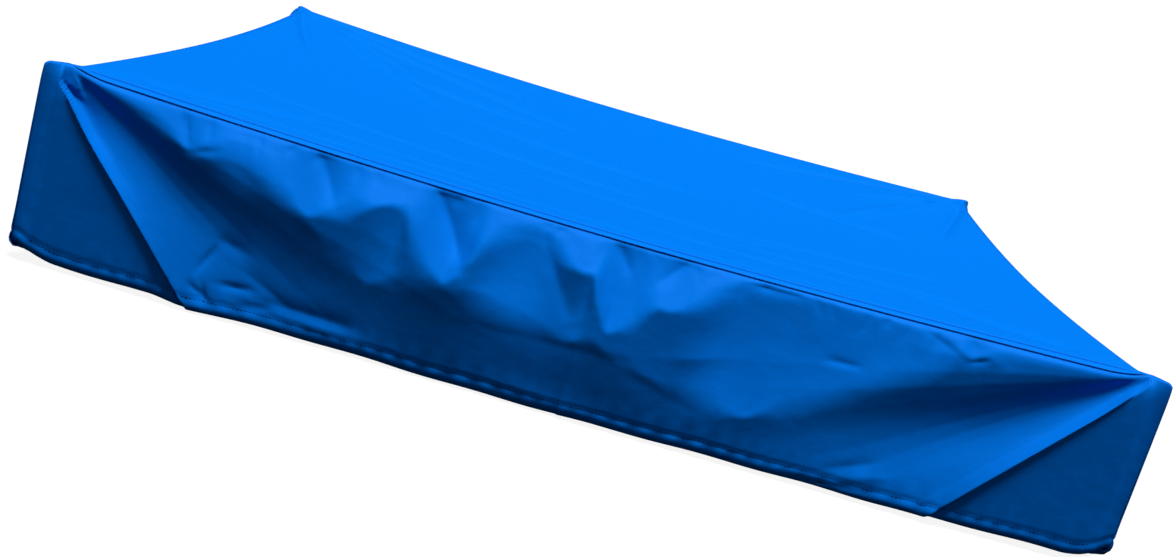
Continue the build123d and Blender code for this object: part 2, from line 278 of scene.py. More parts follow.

# %% [markdown]
# ## Folds of the skirt
#
# Three things shape a skirt. First come the slopes: from the seam the cloth leans out steeply, then
# less, then hangs. The lines where the slope changes dip in points between shallow hollows, as cloth
# does when it is drawn sideways, and those points are what the eye reads as hanging folds. Second, a
# fold runs from each corner peak down to the hem, with a sharp crest and a hollow beyond it. Outside
# the crest the cloth lies flat, and tucks in a little behind the crest. Third come small creases,
# where the stitches pucker the seam and where the elastic gathers the hem. The front's folds are
# listed one by one, and the other sides are drawn from fixed seeds in the same manner.

# %% Slopes, corner folds and creases
# for each side, three lines of places along it and their values: how far down the steep slope ends, how
# far down the gentle one ends, and how far out the cloth is there
SLOPES = {
    "front": (([-ROOT, -520, -480, -430, -403, -380, -357, -334, -312, -295, -269, -246, -217, -201, -192,
                -183, -169, -146, -135, -117, -96, -73, -50, -35, -14, 0, 8, 24, 47, 60, 70, 79, 93, 115,
                138, 155, 200, 300, 358, 390, 410, 453, ROOT],
               [3, 7, 18, 39, 28, 22, 28, 45, 58, 64, 51, 39, 28, 28, 38,
                58, 76, 88, 74, 36, 20, 10, 19, 33, 38, 36, 60, 90, 76, 56, 50, 52, 47, 32,
                14, 7, 5, 6, 12, 23, 14, 8, 3]),
              ([-ROOT, -520, -480, -430, -380, -340, -295, -269, -246, -223, -205, -178, -146, -132, -87,
                -30, -12, 13, 47, 120, 160, 184, 207, 230, 275, 317, 362, 408, 453, ROOT],
               [4, 9, 20, 43, 56, 62, 67, 87, 101, 112, 106, 96, 92, 94, 102, 108,
                110, 100, 114, 134, 138, 137, 124, 115, 90, 64, 42, 26, 14, 4]),
              ([-ROOT, -520, -480, -430, -380, -340, -295, -200, -146, -100, -30, 24, 70, 110, 200, 250,
                300, 350, 400, 450, ROOT],
               [2, 6, 13, 25, 28, 32, 37, 40, 45, 41, 40, 46, 43, 41, 40, 37, 31,
                22, 13, 8, 2])),
}
# the places where those lines turn sharply: the cloth is crisp there and smooth between them
TIPS = {"front": (-430, -295, -223, -146, -12, 24, 79, 184, 390)}
# each crease of a side: its two ends (along, down), its depth, its width and its skew
CREASES = {"front": [
    ((-443, 6), (-430, 38), 2.6, 5, 0.6), ((-430, 40), (-398, 30), 3.2, 4, 1.6),
    ((-384, 118), (-344, 124), 3.0, 5, 2.0), ((-303, 3), (-272, 48), 5.0, 8, 1.7),
    ((-178, 3), (-134, 68), 8.0, 8, 1.8), ((-68, 8), (-10, 92), 4.0, 12, 1.5),
    ((10, 2), (34, 32), 4.2, 6, 1.3), ((60, 34), (90, 2), 4.4, 6, 1.6),
    ((-14, 4), (-14, 34), -2.2, 12, 1.0),
    ((150, 8), (210, 7), 3.0, 4, 1.0), ((186, 132), (196, 60), -1.2, 14, 1.0),
    ((246, 61), (286, 59), 2.2, 2.6, 1.8), ((330, 4), (388, 26), 2.2, 5, 0.7),
    ((388, 26), (408, 20), 2.2, 3, 1.0),
    ((-380, 124), (-394, 154), 3.4, 3, 1.0), ((-372, 161), (-330, 156), 3.0, 3.2, 1.0),
    ((-384, 164), (-380, 184), 2.6, 3, 1.0), ((-345, 174), (-310, 170), 2.4, 3, 1.0),
    ((-400, 168), (-372, 180), 2.0, 3, 1.0), ((-350, 140), (-300, 160), 1.6, 5, 1.0),
    ((-330, 164), (-220, 163), 3.6, 6, 1.3), ((-300, 172), (-200, 176), -2.2, 8, 1.0),
    ((236, 184), (330, 182), 2.6, 3, 1.0), ((300, 172), (352, 160), -2.0, 9, 1.0),
    ((280, 168), (330, 150), 1.6, 6, 1.0), ((-90, 170), (60, 178), -1.5, 10, 1.0),
    ((-560, 26), (-546, 18), 2.2, 2.5, 1.0), ((-560, 18), (-540, 12), 1.6, 2.5, 1.0),
    ((-200, 90), (-60, 84), -1.0, 16, 1.0), ((90, 100), (150, 84), -1.4, 12, 1.0),
    ((-110, 120), (60, 112), 1.2, 10, 1.0), ((40, 120), (150, 150), 1.2, 12, 1.0),
]}
for number, side in enumerate(("right", "back", "left")):
    draw = np.random.default_rng(21 + number)
    places, bright, dark, tips = [-ROOT], [3.0], [4.0], []
    along = -470.0 + draw.uniform(0, 50)
    while along < 480:
        hump = 1 - (along / 590) ** 2
        tip = draw.uniform(34, 88) * hump
        places += [along, along + draw.uniform(24, 46)]
        bright += [tip, draw.uniform(8, 30) * hump + 2]
        dark += [min(tip + draw.uniform(6, 40) * hump, 132), 30 + 86 * hump * draw.uniform(0.8, 1)]
        tips.append(along)
        along = places[-1] + draw.uniform(30, 70)
    places.append(ROOT)
    bright.append(3.0)
    dark.append(4.0)
    reach = ([-ROOT, -480, -380, -250, 0, 250, 380, 480, ROOT], [2, 12, 25, 38, 42, 38, 25, 12, 2])
    SLOPES[side] = ((places, bright), (places, dark), reach)
    TIPS[side] = tuple(tips)
    CREASES[side] = []
    for tip in tips:
        lean, length = draw.uniform(-34, 34), draw.uniform(30, 62)
        CREASES[side].append(
            ((tip - lean, 4), (tip, length), draw.uniform(2.5, 6), draw.uniform(6, 10), 1.5))
        CREASES[side].append(
            ((tip - 60, 168 + lean / 6), (tip + 20, 172), draw.uniform(1, 3), 6, 1.2))

# the seam's stitches gather the cloth under it into small puckers, a few centimetres apart
puckers = np.random.default_rng(33)
for side in CREASES:
    for at in np.arange(-450, 450, 30) + puckers.uniform(-11, 11, 30):
        CREASES[side].append(((at, 1), (at + puckers.uniform(-16, 16), puckers.uniform(12, 30)),
                              puckers.uniform(0.7, 2.2), puckers.uniform(2.6, 4.5), puckers.uniform(1, 2)))

# for each corner fold: where its crest starts below the peak, its angle, the depth of the hollow beyond
# it, how far the crest stands out at its foot, and how strongly the flat cloth outside it is tucked in
FOLDS = {("front", -1): (18, 44.5, 17, 2, 2), ("front", 1): (3, 43.5, 17, 2, 2),
         ("right", -1): (4, 40, 11, 9, 8), ("right", 1): (8, 46, 10, 8, 6),
         ("back", -1): (6, 43, 11, 9, 8), ("back", 1): (10, 38, 11, 9, 8),
         ("left", -1): (5, 47, 10, 8, 6), ("left", 1): (9, 41, 12, 10, 8)}
LEFT_FADE, RIGHT_FADE = 0.55, 0.85      # how much of that hollow is gone at the hem, at each end of a side
CREST_LEAN = 18.0                       # how much further out a crest is at the hem than at the peak
# across a corner fold: degrees inward from its crest, and how much of the crest and of the hollow
# there is at each
FOLD_ANGLES = np.array([-5, 0, 0.6, 2, 4, 6, 8, 10, 12, 15, 19, 23, 27, 31, 35, 40], float)
FOLD_CREST = np.array([1, 1, 0.85, 0.5, 0.1, 0, 0, 0, 0, 0, 0, 0, 0, 0, 0, 0])
FOLD_HOLLOW = np.array([0, 0, 0.05, 0.17, 0.33, 0.49, 0.64, 0.78, 0.9, 1, 0.93, 0.7, 0.42, 0.18, 0.05, 0])


def three_slopes(side, along, down, depth, to_hem):
    """How far the cloth stands out from the seam by its slopes alone: steep, then gentle, then hanging."""
    off_tip = np.min([np.abs(along - tip) for tip in TIPS[side]], axis=0)
    blur = 1.4 + 11.0 * step(off_tip, 3, 40)
    samples = (-1, -0.5, 0, 0.5, 1)
    push = 0
    for sideways in samples:
        bright, dark, reach = (through(*line, along + 0.7 * blur * sideways) for line in SLOPES[side])
        dark = np.maximum(dark, bright + 2)
        steep = np.clip((reach - 0.1 * (dark - bright)) / bright, 0.1, 0.85)
        at_bright = np.minimum(steep * bright, reach)
        for shift in samples:
            at = np.maximum(down + shift * np.minimum(blur, 0.6 * down), 0)
            first = np.clip(at / bright, 0, 1)
            second = np.clip((at - bright) / (dark - bright), 0, 1)
            third = np.clip((at - dark) / np.maximum(depth - dark, 30), 0, 1)
            push = push + at_bright * first * (0.75 + 0.25 * first) \
                + (reach - at_bright) * second * (0.55 + 0.45 * second) + (to_hem - reach) * third
    return push / len(samples) ** 2


def skirt_place(side, along, share):
    """The skirt's cloth as (along, out, up), and the height of its hem. share runs from 0 at the seam
    to 1 at the bottom of the hem."""
    seam_at, seam_out, seam_up = seam_line(side, along)
    hem_at, hem_out = hem_line(side, along)
    hem_up = HEM_BOTTOM + 8 * step(np.abs(along), 540, 590) + corner_rise(side, along) \
        + 0.9 * np.sin(along / 63) + 0.5 * np.sin(along / 19)
    if side == "front":
        hem_up = hem_up + 3.2 * (1 - step(along, -440, -405)) + 3.0 * step(along, 60, 300)
    depth = seam_up - hem_up
    down = share * depth
    place = seam_at + (hem_at - seam_at) * share
    inboard = np.maximum(ROOT - np.abs(along), 0)
    radius = np.hypot(inboard, down)
    end = np.where(along < 0, -1, 1)
    below, crest, hollow, lip, tuck = (
        np.where(end < 0, FOLDS[side, -1][k], FOLDS[side, 1][k]) for k in range(5))
    # the flat triangle between the ear and the crest
    raw = np.degrees(np.arctan2(inboard, np.maximum(down, 0.01)))
    flat = seam_out + PEAK_LEDGE * (1 - np.exp(-radius / 7)) \
        + (6 + 12 * np.clip(raw / 45, 0, 1)) * share - 0.006 * tuck * down
    # everything beyond the crest
    lowered = np.maximum(down - below * (1 - step(raw, 35, 62)), 0.01)
    angle = np.degrees(np.arctan2(inboard, lowered)) - crest
    fade = 1 - np.where(end < 0, LEFT_FADE, RIGHT_FADE) * step(down, 0.4 * depth, depth)
    crest_share = np.interp(angle, FOLD_ANGLES, FOLD_CREST)
    hollow_share = np.interp(angle, FOLD_ANGLES, FOLD_HOLLOW) * fade * (1 - np.exp(-radius / 70))
    slopes = seam_out + three_slopes(side, along, down, depth, hem_out - seam_out)
    stand = seam_out + PEAK_LEDGE * (1 - np.exp(-radius / 9)) + CREST_LEAN * share + 2 + lip * radius / 250
    folded = crest_share * np.maximum(stand - slopes, 1.5) - hollow_share * hollow
    slopes = slopes + folded * step(radius, 4, 34)
    for fold in CREASES[side]:
        slopes = slopes - crease(along, down, *fold) * step(down, 0.5, 8)
    # behind the crest the cloth turns back under it and meets the flat triangle
    inside = step(angle, -1.2 - 100 / np.maximum(radius, 12), 0.1)
    drop = np.maximum(slopes - flat, 0)
    behind = np.where(angle < 0, np.clip(-angle / 1.3, 0, 1) * np.exp(-np.maximum(-angle - 1.3, 0) / 5), 0)
    place = place - end * 0.5 * drop * behind * step(inboard, 10, 60)
    out = flat * (1 - inside) + slopes * inside
    # the ear is pinched, and thinnest at its tip
    near_ear = step(np.abs(along), ROOT - 4, ROOT + 6)
    to_tip = np.clip((np.abs(along) - ROOT) / ear_length(side, along), 0, 1)
    ledge = PEAK_LEDGE - 13 * np.sqrt(to_tip)
    pinched = seam_out + ledge * (1 - np.exp(-down / 7)) + (hem_out - seam_out - ledge) * share \
        - 7 * (1 - to_tip) * share
    out = out * (1 - near_ear) + pinched * near_ear
    return place, out, seam_up - down, hem_up


# %% [markdown]
# ## Skirt panels
#
# Each skirt is cut as a strip as long as the box and as deep as it is high, with a channel folded up
# along its lower edge for the elastic. A grid is the right start: its rows run from the seam down to
# the hem, round the bottom of the channel and up its inside. Its columns fan out from the corners, so
# that they run along the crest of each corner fold and the crest comes out clean. Solidify then gives
# the cloth its thickness.

# %% Skirt panels
CHANNEL_ROWS = 9        # rows of the grid that go round the channel and up its inside
TURN = 0.35             # the share of those rows in the turn at the bottom
CHANNEL_DEPTH = 7.4     # how far in the cloth goes at the bottom of the channel
GATHER = 1.3            # how deep the elastic gathers the cloth over the channel
# columns and rows of each panel, the front with the most because it has the finest folds
GRIDS = {"front": (560, 74), "right": (380, 60), "back": (380, 60), "left": (380, 60)}


def to_world(side, along, out, up):
    """Side coordinates in millimetres to the shared frame in metres."""
    right, away = SIDES[side]
    return np.stack([right[0] * along + away[0] * out, right[1] * along + away[1] * out, up], axis=1) * MM


def grid_piece(name, columns, rows, place):
    """A smooth grid whose points are placed by a function of two shares from 0 to 1."""
    shape = bmesh.new()
    bmesh.ops.create_grid(shape, x_segments=columns, y_segments=rows, size=0.5)
    for face in shape.faces:
        face.smooth = True
    points = np.array([vert.co for vert in shape.verts])
    for vert, point in zip(shape.verts, place(points[:, 0] + 0.5, 0.5 - points[:, 1])):
        vert.co = point
    bmesh.ops.recalc_face_normals(shape, faces=shape.faces)
    mesh = bpy.data.meshes.new(name)
    shape.to_mesh(mesh)
    shape.free()
    piece = bpy.data.objects.new(name, mesh)
    bpy.context.scene.collection.objects.link(piece)
    return piece


def make_skirt(side):
    """One skirt panel with its hem channel."""
    columns, rows = GRIDS[side]

    def place(u, v):
        edge = np.where(u < 0.5, EARS[ENDS[side][0]], EARS[ENDS[side][1]])
        at_hem = (2 * u - 1) * (ROOT + edge)
        row = v * (rows + CHANNEL_ROWS)
        share = np.minimum(row / rows, 1.0)
        share = 0.9 * share + 0.1 * share ** 2
        inboard = ROOT - np.abs(at_hem)
        at_seam = np.where(inboard > 0, np.interp(inboard, [0, 200, ROOT], [0, 22, ROOT]), inboard)
        along = np.sign(at_hem) * (ROOT - (at_seam + (inboard - at_seam) * share))
        at, out, up, hem_up = skirt_place(side, along, share)
        # hem: a stitched groove, a full channel below it, and the cloth coming back up inside
        above = up - hem_up
        gathers = GATHER * np.sin(along / 3.6 + 2.2 * np.sin(along / 37))
        ripple = gathers * (0.35 + 0.65 * np.sin(along / 83) ** 2)
        belly = np.clip(1 - ((above - HEM_HEIGHT / 2) / (HEM_HEIGHT / 2)) ** 2, 0, 1) ** 0.5
        groove = np.exp(-((above - HEM_HEIGHT) / 1.7) ** 2)
        out = out + belly * (0.2 + ripple) - 1.2 * groove \
            - HEM_TUCK * (1 - np.clip(above / 7.0, 0, 1)) ** 2
        out = out + 0.35 * ripple * np.exp(-((above - HEM_HEIGHT - 6) / 9) ** 2)
        beyond = np.clip((row - rows) / CHANNEL_ROWS, 0, 1)
        turn = np.clip(beyond / TURN, 0, 1) * pi / 2
        rise = np.clip((beyond - TURN) / (1 - TURN), 0, 1)
        out = out - (beyond > 0) * (CHANNEL_DEPTH * np.sin(turn) + 0.5 - 7.0 * rise ** 2)
        up = up + (beyond > 0) * (2.0 * (1 - np.cos(turn)) + rise * (HEM_HEIGHT - 2.5))
        # the skirt comes out from under the edge of the top panel
        down = share * SKIRT_HEIGHT
        under = step(ROOT - np.abs(along), 1, 22)
        out = out - 1.9 * np.exp(-(down / 2.6) ** 2) * under
        up = up - 1.7 * np.exp(-(down / 5.0) ** 2) * under
        # at a corner the two panels meet edge to edge
        at = at - np.sign(along) * 0.4 * step(np.abs(along), ROOT + edge - 4, ROOT + edge)
        return to_world(side, at, out, up)

    return grid_piece(f"skirt_cloth_{side}", columns, rows + CHANNEL_ROWS, place)


skirts = {side: make_skirt(side) for side in SIDES}
print("skirt faces:", {side: len(piece.data.polygons) for side, piece in skirts.items()})

# %% [markdown]
# ## Top panel
#
# The top is one square of cloth. Its edges follow the seam line and its middle hangs. Radial creases
# run in from the corners, where the pull is strongest, and long fine wrinkles lie beside the seams. A
# strip along each edge is doubled, where the seam allowance is turned in and stitched flat: it leans
# down to the seam, and the row of stitches pulls a groove along its inner edge.

# %% Top panel
TOP_CELLS = 214         # cells of the grid each way
# the rows nearest an edge, as distances from it, so that the strip and its groove have rows of their own
EDGE_ROWS = [0, 0.5, 1.2, 2.2, 3.4, 4.8, 6.2, 7.2, 7.9, 8.4, 8.8, 9.2, 9.7, 10.4, 11.4, 12.8, 14.6, 17]
# each crease of the top: its two ends (across, away), its depth, its width and its skew. First come
# those that run in from the back corners, then those from the front corners, then the wrinkles.
TOP_CREASES = [
    ((-535, 505), (-253, 86), -7.0, 12, 0.4), ((-520, 500), (-330, 290), -5.0, 10, 0.4),
    ((-552, 545), (-440, 380), 9.0, 6, 1.6), ((-540, 560), (-180, 400), 9.0, 7, 1.5),
    ((-567, 540), (-470, 190), 8.0, 10, 1.0),
    ((540, 505), (324, 151), -7.0, 5, 2.4), ((530, 500), (368, 370), -5.0, 5, 2.2),
    ((552, 545), (450, 380), 9.0, 6, 0.7), ((540, 560), (200, 420), 9.0, 7, 0.7),
    ((567, 540), (470, 160), 8.0, 10, 1.0), ((-480, 480), (-80, 250), 9.0, 7, 1.4),
    ((-560, -556), (-330, -380), 5.0, 14, 1.0), ((560, -556), (330, -380), 5.0, 14, 1.0),
    ((-470, -300), (-120, -330), 4.5, 6, 0.6), ((-300, -500), (60, -505), 3.2, 4, 0.7),
    ((20, -420), (320, -440), 4.0, 5, 0.7), ((-60, -525), (300, -528), 2.4, 3.4, 0.7),
    ((-500, -520), (-180, -515), 2.8, 4, 0.7), ((150, -250), (420, -230), 4.5, 7, 0.7),
    ((-260, -120), (40, -160), 6.0, 8, 0.7), ((-200, 60), (120, 10), 6.0, 10, 0.7),
    ((-420, -430), (-60, -450), 3.4, 4.4, 0.7), ((120, -350), (460, -372), 3.8, 5, 0.7),
    ((-120, -240), (200, -300), 4.5, 7, 0.7), ((552, 480), (564, 420), 9.0, 6, 1.0),
    ((-390, 250), (-120, 190), 7.0, 9, 0.7), ((200, 180), (420, 60), 7.0, 9, 0.7),
]


CORNERS = {"front_left": (-1, -1), "front_right": (1, -1), "back_right": (1, 1), "back_left": (-1, 1)}


def top_shape(across, away):
    """Points of the top panel, for shares of -1 to 1 across the cover and away from the front."""
    share_x, share_y = 1 - np.abs(across) ** 1.8, 1 - np.abs(away) ** 1.8
    front_back = (SAGS["front"] * (1 - away) + SAGS["back"] * (1 + away)) / 2
    left_right = (SAGS["left"] * (1 - across) + SAGS["right"] * (1 + across)) / 2
    middle = MIDDLE_SAG - sum(SAGS.values()) / 2
    up = PEAK - front_back * share_x - left_right * share_y - middle * share_x * share_y
    for corner, (side_x, side_y) in CORNERS.items():
        up = up + LIFTS[corner] * np.clip(side_x * across, 0, 1) ** 3 * np.clip(side_y * away, 0, 1) ** 3
    x = across * (ROOT - BOW * (1 - away ** 2))
    y = away * (ROOT - BOW * (1 - across ** 2))
    from_edge = ROOT * (1 - np.maximum(np.abs(across), np.abs(away)))
    from_corner = ROOT * (1 - np.minimum(np.abs(across), np.abs(away)))
    for fold in TOP_CREASES:
        up = up - crease(x, y, *fold) * step(from_edge, 8, 26)
    # the post caps under the corners hold the cloth up
    off_cap = np.maximum(np.abs(np.abs(x) - CAP_AT), np.abs(np.abs(y) - CAP_AT))
    held_up = CAP_TOP - 0.35 * np.maximum(off_cap - 8, 0)
    up = np.maximum(up, held_up) + 0.6 * np.exp(-np.abs(up - held_up) / 0.9)
    # the doubled strip leans down to the seam, inside a stitched groove
    lean = np.clip((STRIP - from_edge) / STRIP, 0, 1) ** 1.5
    up = up - (STRIP_DROP - 0.3) * lean * step(from_corner / ROOT, 0, 0.08)
    stitched = step(from_corner, 8, 30)
    up = up - (1.4 * (1 - step(from_edge, STRIP - 0.5, STRIP + 0.9))
               + 3.4 * np.exp(-((from_edge - STRIP + 0.2) / 1.2) ** 2)) * stitched
    return np.stack([x, y, up], axis=1) * MM


def place_top(u, v):
    """Points of the grid, with its rows crowded together at the edges."""
    inner = np.linspace(0, 1, TOP_CELLS // 2 + 2 - len(EDGE_ROWS))
    rows = np.concatenate([EDGE_ROWS, EDGE_ROWS[-1] + (ROOT - EDGE_ROWS[-1]) * inner[1:] ** 1.35])

    def spread(share):
        from_edge = (0.5 - np.abs(share - 0.5)) * TOP_CELLS
        return np.sign(share - 0.5) * (1 - np.interp(from_edge, np.arange(len(rows)), rows) / ROOT)

    return top_shape(spread(u), -spread(v))


top_cloth = grid_piece("top_cloth", TOP_CELLS, TOP_CELLS, place_top)
print("top panel:", len(top_cloth.data.polygons), "faces")

for piece in [top_cloth, *skirts.values()]:
    thickness = piece.modifiers.new("cloth thickness", "SOLIDIFY")
    thickness.thickness = CLOTH * MM
    thickness.offset = -1.0

# %% [markdown]
# ## Cover cloth
#
# The cover is polyester taffeta with a polyurethane coat: closely woven, smooth and slightly shiny.
# The coat gives a broad soft shine in the colour of the cloth. The threads are 0.3 mm apart, too fine
# to see from across a garden, so a faint noise about 2 mm wide stands for them. A second noise, 33 mm
# wide, stands for the small unevenness that any handled cloth has.

# %% Cover cloth material
coated_cloth, tree = new_material("PU-coated polyester taffeta, blue")
where = add_node(tree, "ShaderNodeTexCoord")
threads = add_node(tree, "ShaderNodeTexNoise", Vector=where.outputs["Object"], Scale=420.0, Detail=2.0)
handled = add_node(tree, "ShaderNodeTexNoise", Vector=where.outputs["Object"], Scale=30.0, Detail=3.0,
                   Roughness=0.5)
fine_bump = add_node(tree, "ShaderNodeBump", Strength=0.05, Distance=0.0004, Height=threads.outputs[0])
soft_bump = add_node(tree, "ShaderNodeBump", Strength=0.26, Distance=0.004, Height=handled.outputs[0],
                     Normal=fine_bump.outputs[0])
cloth_shader = add_node(tree, "ShaderNodeBsdfPrincipled", Base_Color=linear("#0067cb"), Roughness=0.52,
                        Normal=soft_bump.outputs[0], Specular_Tint=linear("#0070ff"))
cloth_shader.inputs["Specular IOR Level"].default_value = 0.09
add_node(tree, "ShaderNodeOutputMaterial", Surface=cloth_shader.outputs[0])

for piece in [top_cloth, *skirts.values()]:
    piece.data.materials.append(coated_cloth)
    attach(piece, "cover")
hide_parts("cover_top")
for side, piece in skirts.items():
    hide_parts(f"cover_skirt_{side}")

# %% [markdown]
# ## Stitching
#
# Every seam on the cover is sewn with a lockstitch of matching polyester thread. A row of stitches
# could be painted on, but in close views each stitch should catch the light, so each is a tiny
# ellipsoid of thread, sunk by half into the cloth, with the 0.4 mm twist of the thread as its bump. The
# rows on the top panel come from the same function as the panel, and those on the hem are found by
# casting rays at the finished skirts, so that they lie on the cloth wherever it goes.

# %% Stitching
STITCH, THREAD = 4.4, 0.42      # from one stitch to the next, and half the thread's thickness
STITCH_HALF = 0.41              # half the length of a stitch, as a share of that step
BATCH = 24                      # stitches made at a time
ROW_END = 14.0                  # how far short of a corner a row on the top panel stops
OUTSIDE = 0.7                   # metres from the middle, beyond every side of the cover


def surface(piece):
    """A search tree of a piece's mesh, to cast rays at."""
    shape = bmesh.new()
    shape.from_mesh(piece.data)
    found = BVHTree.FromBMesh(shape)
    shape.free()
    return found


def sew(name, rows):
    """One piece with all the stitches of some rows. Each row is a list of places on the cloth."""
    seam = bmesh.new()
    part = bpy.data.meshes.new(name + "_part")
    pairs = [(first, second) for row in rows for first, second in zip(row, row[1:])
             if (second - first).length < 2 * STITCH * MM]
    for start in range(0, len(pairs), BATCH):
        # a few stitches at a time, because an operator slows down as its mesh grows
        few = bmesh.new()
        for first, second in pairs[start:start + BATCH]:
            run = second - first
            turn = run.to_track_quat("Z", "Y").to_matrix().to_4x4()
            place = Matrix.Translation((first + second) / 2) @ turn
            size = Matrix.Diagonal((THREAD * MM, THREAD * MM, STITCH_HALF * run.length, 1))
            bmesh.ops.create_uvsphere(few, u_segments=6, v_segments=4, radius=1.0, matrix=place @ size)
        for face in few.faces:
            face.smooth = True
        few.to_mesh(part)
        few.free()
        seam.from_mesh(part)
    mesh = bpy.data.meshes.new(name)
    seam.to_mesh(mesh)
    seam.free()
    bpy.data.meshes.remove(part)
    piece = bpy.data.objects.new(name, mesh)
    bpy.context.scene.collection.objects.link(piece)
    piece.data.materials.append(thread)
    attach(piece, "cover")
    print(name, "has", len(mesh.polygons), "faces")
    return piece


thread, tree = new_material("polyester sewing thread, blue")
where = add_node(tree, "ShaderNodeTexCoord")
twist = add_node(tree, "ShaderNodeTexNoise", Vector=where.outputs["Object"], Scale=2500.0)
twist_bump = add_node(tree, "ShaderNodeBump", Strength=0.4, Distance=0.0002, Height=twist.outputs[0])
thread_shader = add_node(tree, "ShaderNodeBsdfPrincipled", Base_Color=linear("#003f84"), Roughness=0.6,
                         Normal=twist_bump.outputs[0], Specular_Tint=linear("#0070ff"))
thread_shader.inputs["Specular IOR Level"].default_value = 0.16
add_node(tree, "ShaderNodeOutputMaterial", Surface=thread_shader.outputs[0])

row_at = np.arange(-ROOT + ROW_END, ROOT - ROW_END, STITCH) / ROOT
line_at = np.full(len(row_at), 1 - STRIP / ROOT)
top_rows = [top_shape(row_at, -line_at), top_shape(row_at, line_at), top_shape(line_at, row_at),
            top_shape(-line_at, row_at)]
sew("top_stitching", [[Vector(point) for point in row] for row in top_rows])

hem_rows = []
for side in SIDES:
    target = surface(skirts[side])
    right, away = (Vector((*pair, 0)) for pair in SIDES[side])
    along = np.arange(-ROOT, ROOT, STITCH)
    lift = skirt_place(side, along, np.ones(len(along)))[3]
    row = []
    for at, up in zip(hem_line(side, along)[0], lift):
        start = right * (at * MM) + away * OUTSIDE + Vector((0, 0, (up + HEM_HEIGHT) * MM))
        hit = target.ray_cast(start, -away)[0]
        if hit:
            row.append(hit)
    hem_rows.append(row)
sew("hem_stitching", hem_rows)

# %% [markdown]
# ## Elastic in the hem
#
# A ring of covered elastic runs in the channel, and its ends meet in a crimped sleeve at the back. It
# is one closed curve with a round section, which follows the hem just inside the outer cloth. The
# braid over its rubber core is a band pattern. Its ridges are about 1.5 mm apart on a real cord, and
# are drawn 4 mm apart so that they show.

# %% Elastic in the hem
ELASTIC_RADIUS = 2.3
BEHIND_CLOTH, ABOVE_HEM = 4.6, 5.2      # the middle of the cord, from the outer cloth and the hem's bottom
CRIMP_OUT, CRIMP_UP = 595.5, 13.0       # where the crimp holds it, at the middle of the back
braided_elastic, tree = new_material("polyester-covered rubber elastic, black")
where = add_node(tree, "ShaderNodeTexCoord")
braid = add_node(tree, "ShaderNodeTexWave", {"wave_type": "BANDS", "bands_direction": "DIAGONAL"},
                 Vector=where.outputs["Object"], Scale=160.0, Distortion=1.0)
braid_bump = add_node(tree, "ShaderNodeBump", Strength=0.5, Distance=0.0004, Height=braid.outputs[0])
elastic_shader = add_node(tree, "ShaderNodeBsdfPrincipled", Base_Color=linear("#1d1f22"), Roughness=0.75,
                          Normal=braid_bump.outputs[0])
add_node(tree, "ShaderNodeOutputMaterial", Surface=elastic_shader.outputs[0])

ring = []
for side in SIDES:
    along = np.linspace(-ROOT - 8, ROOT + 8, 61)
    at, out, _, hem_up = skirt_place(side, along, np.ones(len(along)))
    crimp = (1 - step(np.abs(along), 25, 90)) * (side == "back")
    out, up = out - BEHIND_CLOTH, hem_up + ABOVE_HEM
    ring.extend(to_world(side, at, out + (CRIMP_OUT - out) * crimp, up + (CRIMP_UP - up) * crimp))
elastic_line = bpy.data.curves.new("elastic_line", "CURVE")
elastic_line.dimensions = "3D"
elastic_line.bevel_depth = ELASTIC_RADIUS * MM
elastic_line.bevel_resolution = 2
spline = elastic_line.splines.new("NURBS")
spline.points.add(len(ring) - 1)
for point, place in zip(spline.points, ring):
    point.co = (*place, 1.0)
spline.use_cyclic_u = True
spline.order_u = 3
spline.resolution_u = 3
elastic = bpy.data.objects.new("hem_elastic_ring", elastic_line)
bpy.context.scene.collection.objects.link(elastic)
elastic_line.materials.append(braided_elastic)
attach(elastic, "cover")
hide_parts("hem_elastic")
print("elastic ring of", len(ring), "points")

# %% [markdown]
# ## Sand and ground sheet
#
# Sand never lies flat: it keeps the hollows and heaps of the last game. A grid with low heaps makes
# its surface, and its border is drawn down and closed so that it stays one solid. The grains are half
# a millimetre wide and are drawn three times as coarse, so that they show, with darker patches where
# the sand is damp. The ground sheet under it is woven polypropylene tape, laid flat. Its tapes are
# 2.5 mm wide and are drawn twice as wide.

# %% Sand and ground sheet
play_sand, tree = new_material("washed quartz play sand")
where = add_node(tree, "ShaderNodeTexCoord")
grains = add_node(tree, "ShaderNodeTexNoise", Vector=where.outputs["Object"], Scale=620.0, Detail=2.0)
damp = add_node(tree, "ShaderNodeTexNoise", Vector=where.outputs["Object"], Scale=7.0, Detail=3.0)
grain_share = add_node(tree, "ShaderNodeMapRange", i0=grains.outputs[0], i1=0.35, i2=0.65)
dry = add_node(tree, "ShaderNodeMix", {"data_type": "RGBA"}, i0=grain_share.outputs[0],
               i6=linear("#b4935f"), i7=linear("#e6d2a6"))
damp_share = add_node(tree, "ShaderNodeMapRange", i0=damp.outputs[0], i1=0.5, i2=0.75, i4=0.35)
sand_colour = add_node(tree, "ShaderNodeMix", {"data_type": "RGBA"}, i0=damp_share.outputs[0],
                       i6=dry.outputs[2], i7=linear("#97794c"))
grain_bump = add_node(tree, "ShaderNodeBump", Strength=0.7, Distance=0.0012, Height=grains.outputs[0])
sand_shader = add_node(tree, "ShaderNodeBsdfPrincipled", Base_Color=sand_colour.outputs[2], Roughness=0.92,
                       Normal=grain_bump.outputs[0])
add_node(tree, "ShaderNodeOutputMaterial", Surface=sand_shader.outputs[0])

low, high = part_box("sand_fill")
SAND_GAP = 0.0004       # between the sand and the boards
SAND_CELLS, HILLS = 170, 46
sand_half, sand_top, sand_bottom = high[0] - SAND_GAP, high[2], low[2]
heaps = np.random.default_rng(7)
# each hill or hollow: its middle, its width, and its height in millimetres
hills = [(heaps.uniform(-0.5, 0.5), heaps.uniform(-0.5, 0.5), heaps.uniform(0.04, 0.15),
          heaps.uniform(-6, 5)) for _ in range(HILLS)]


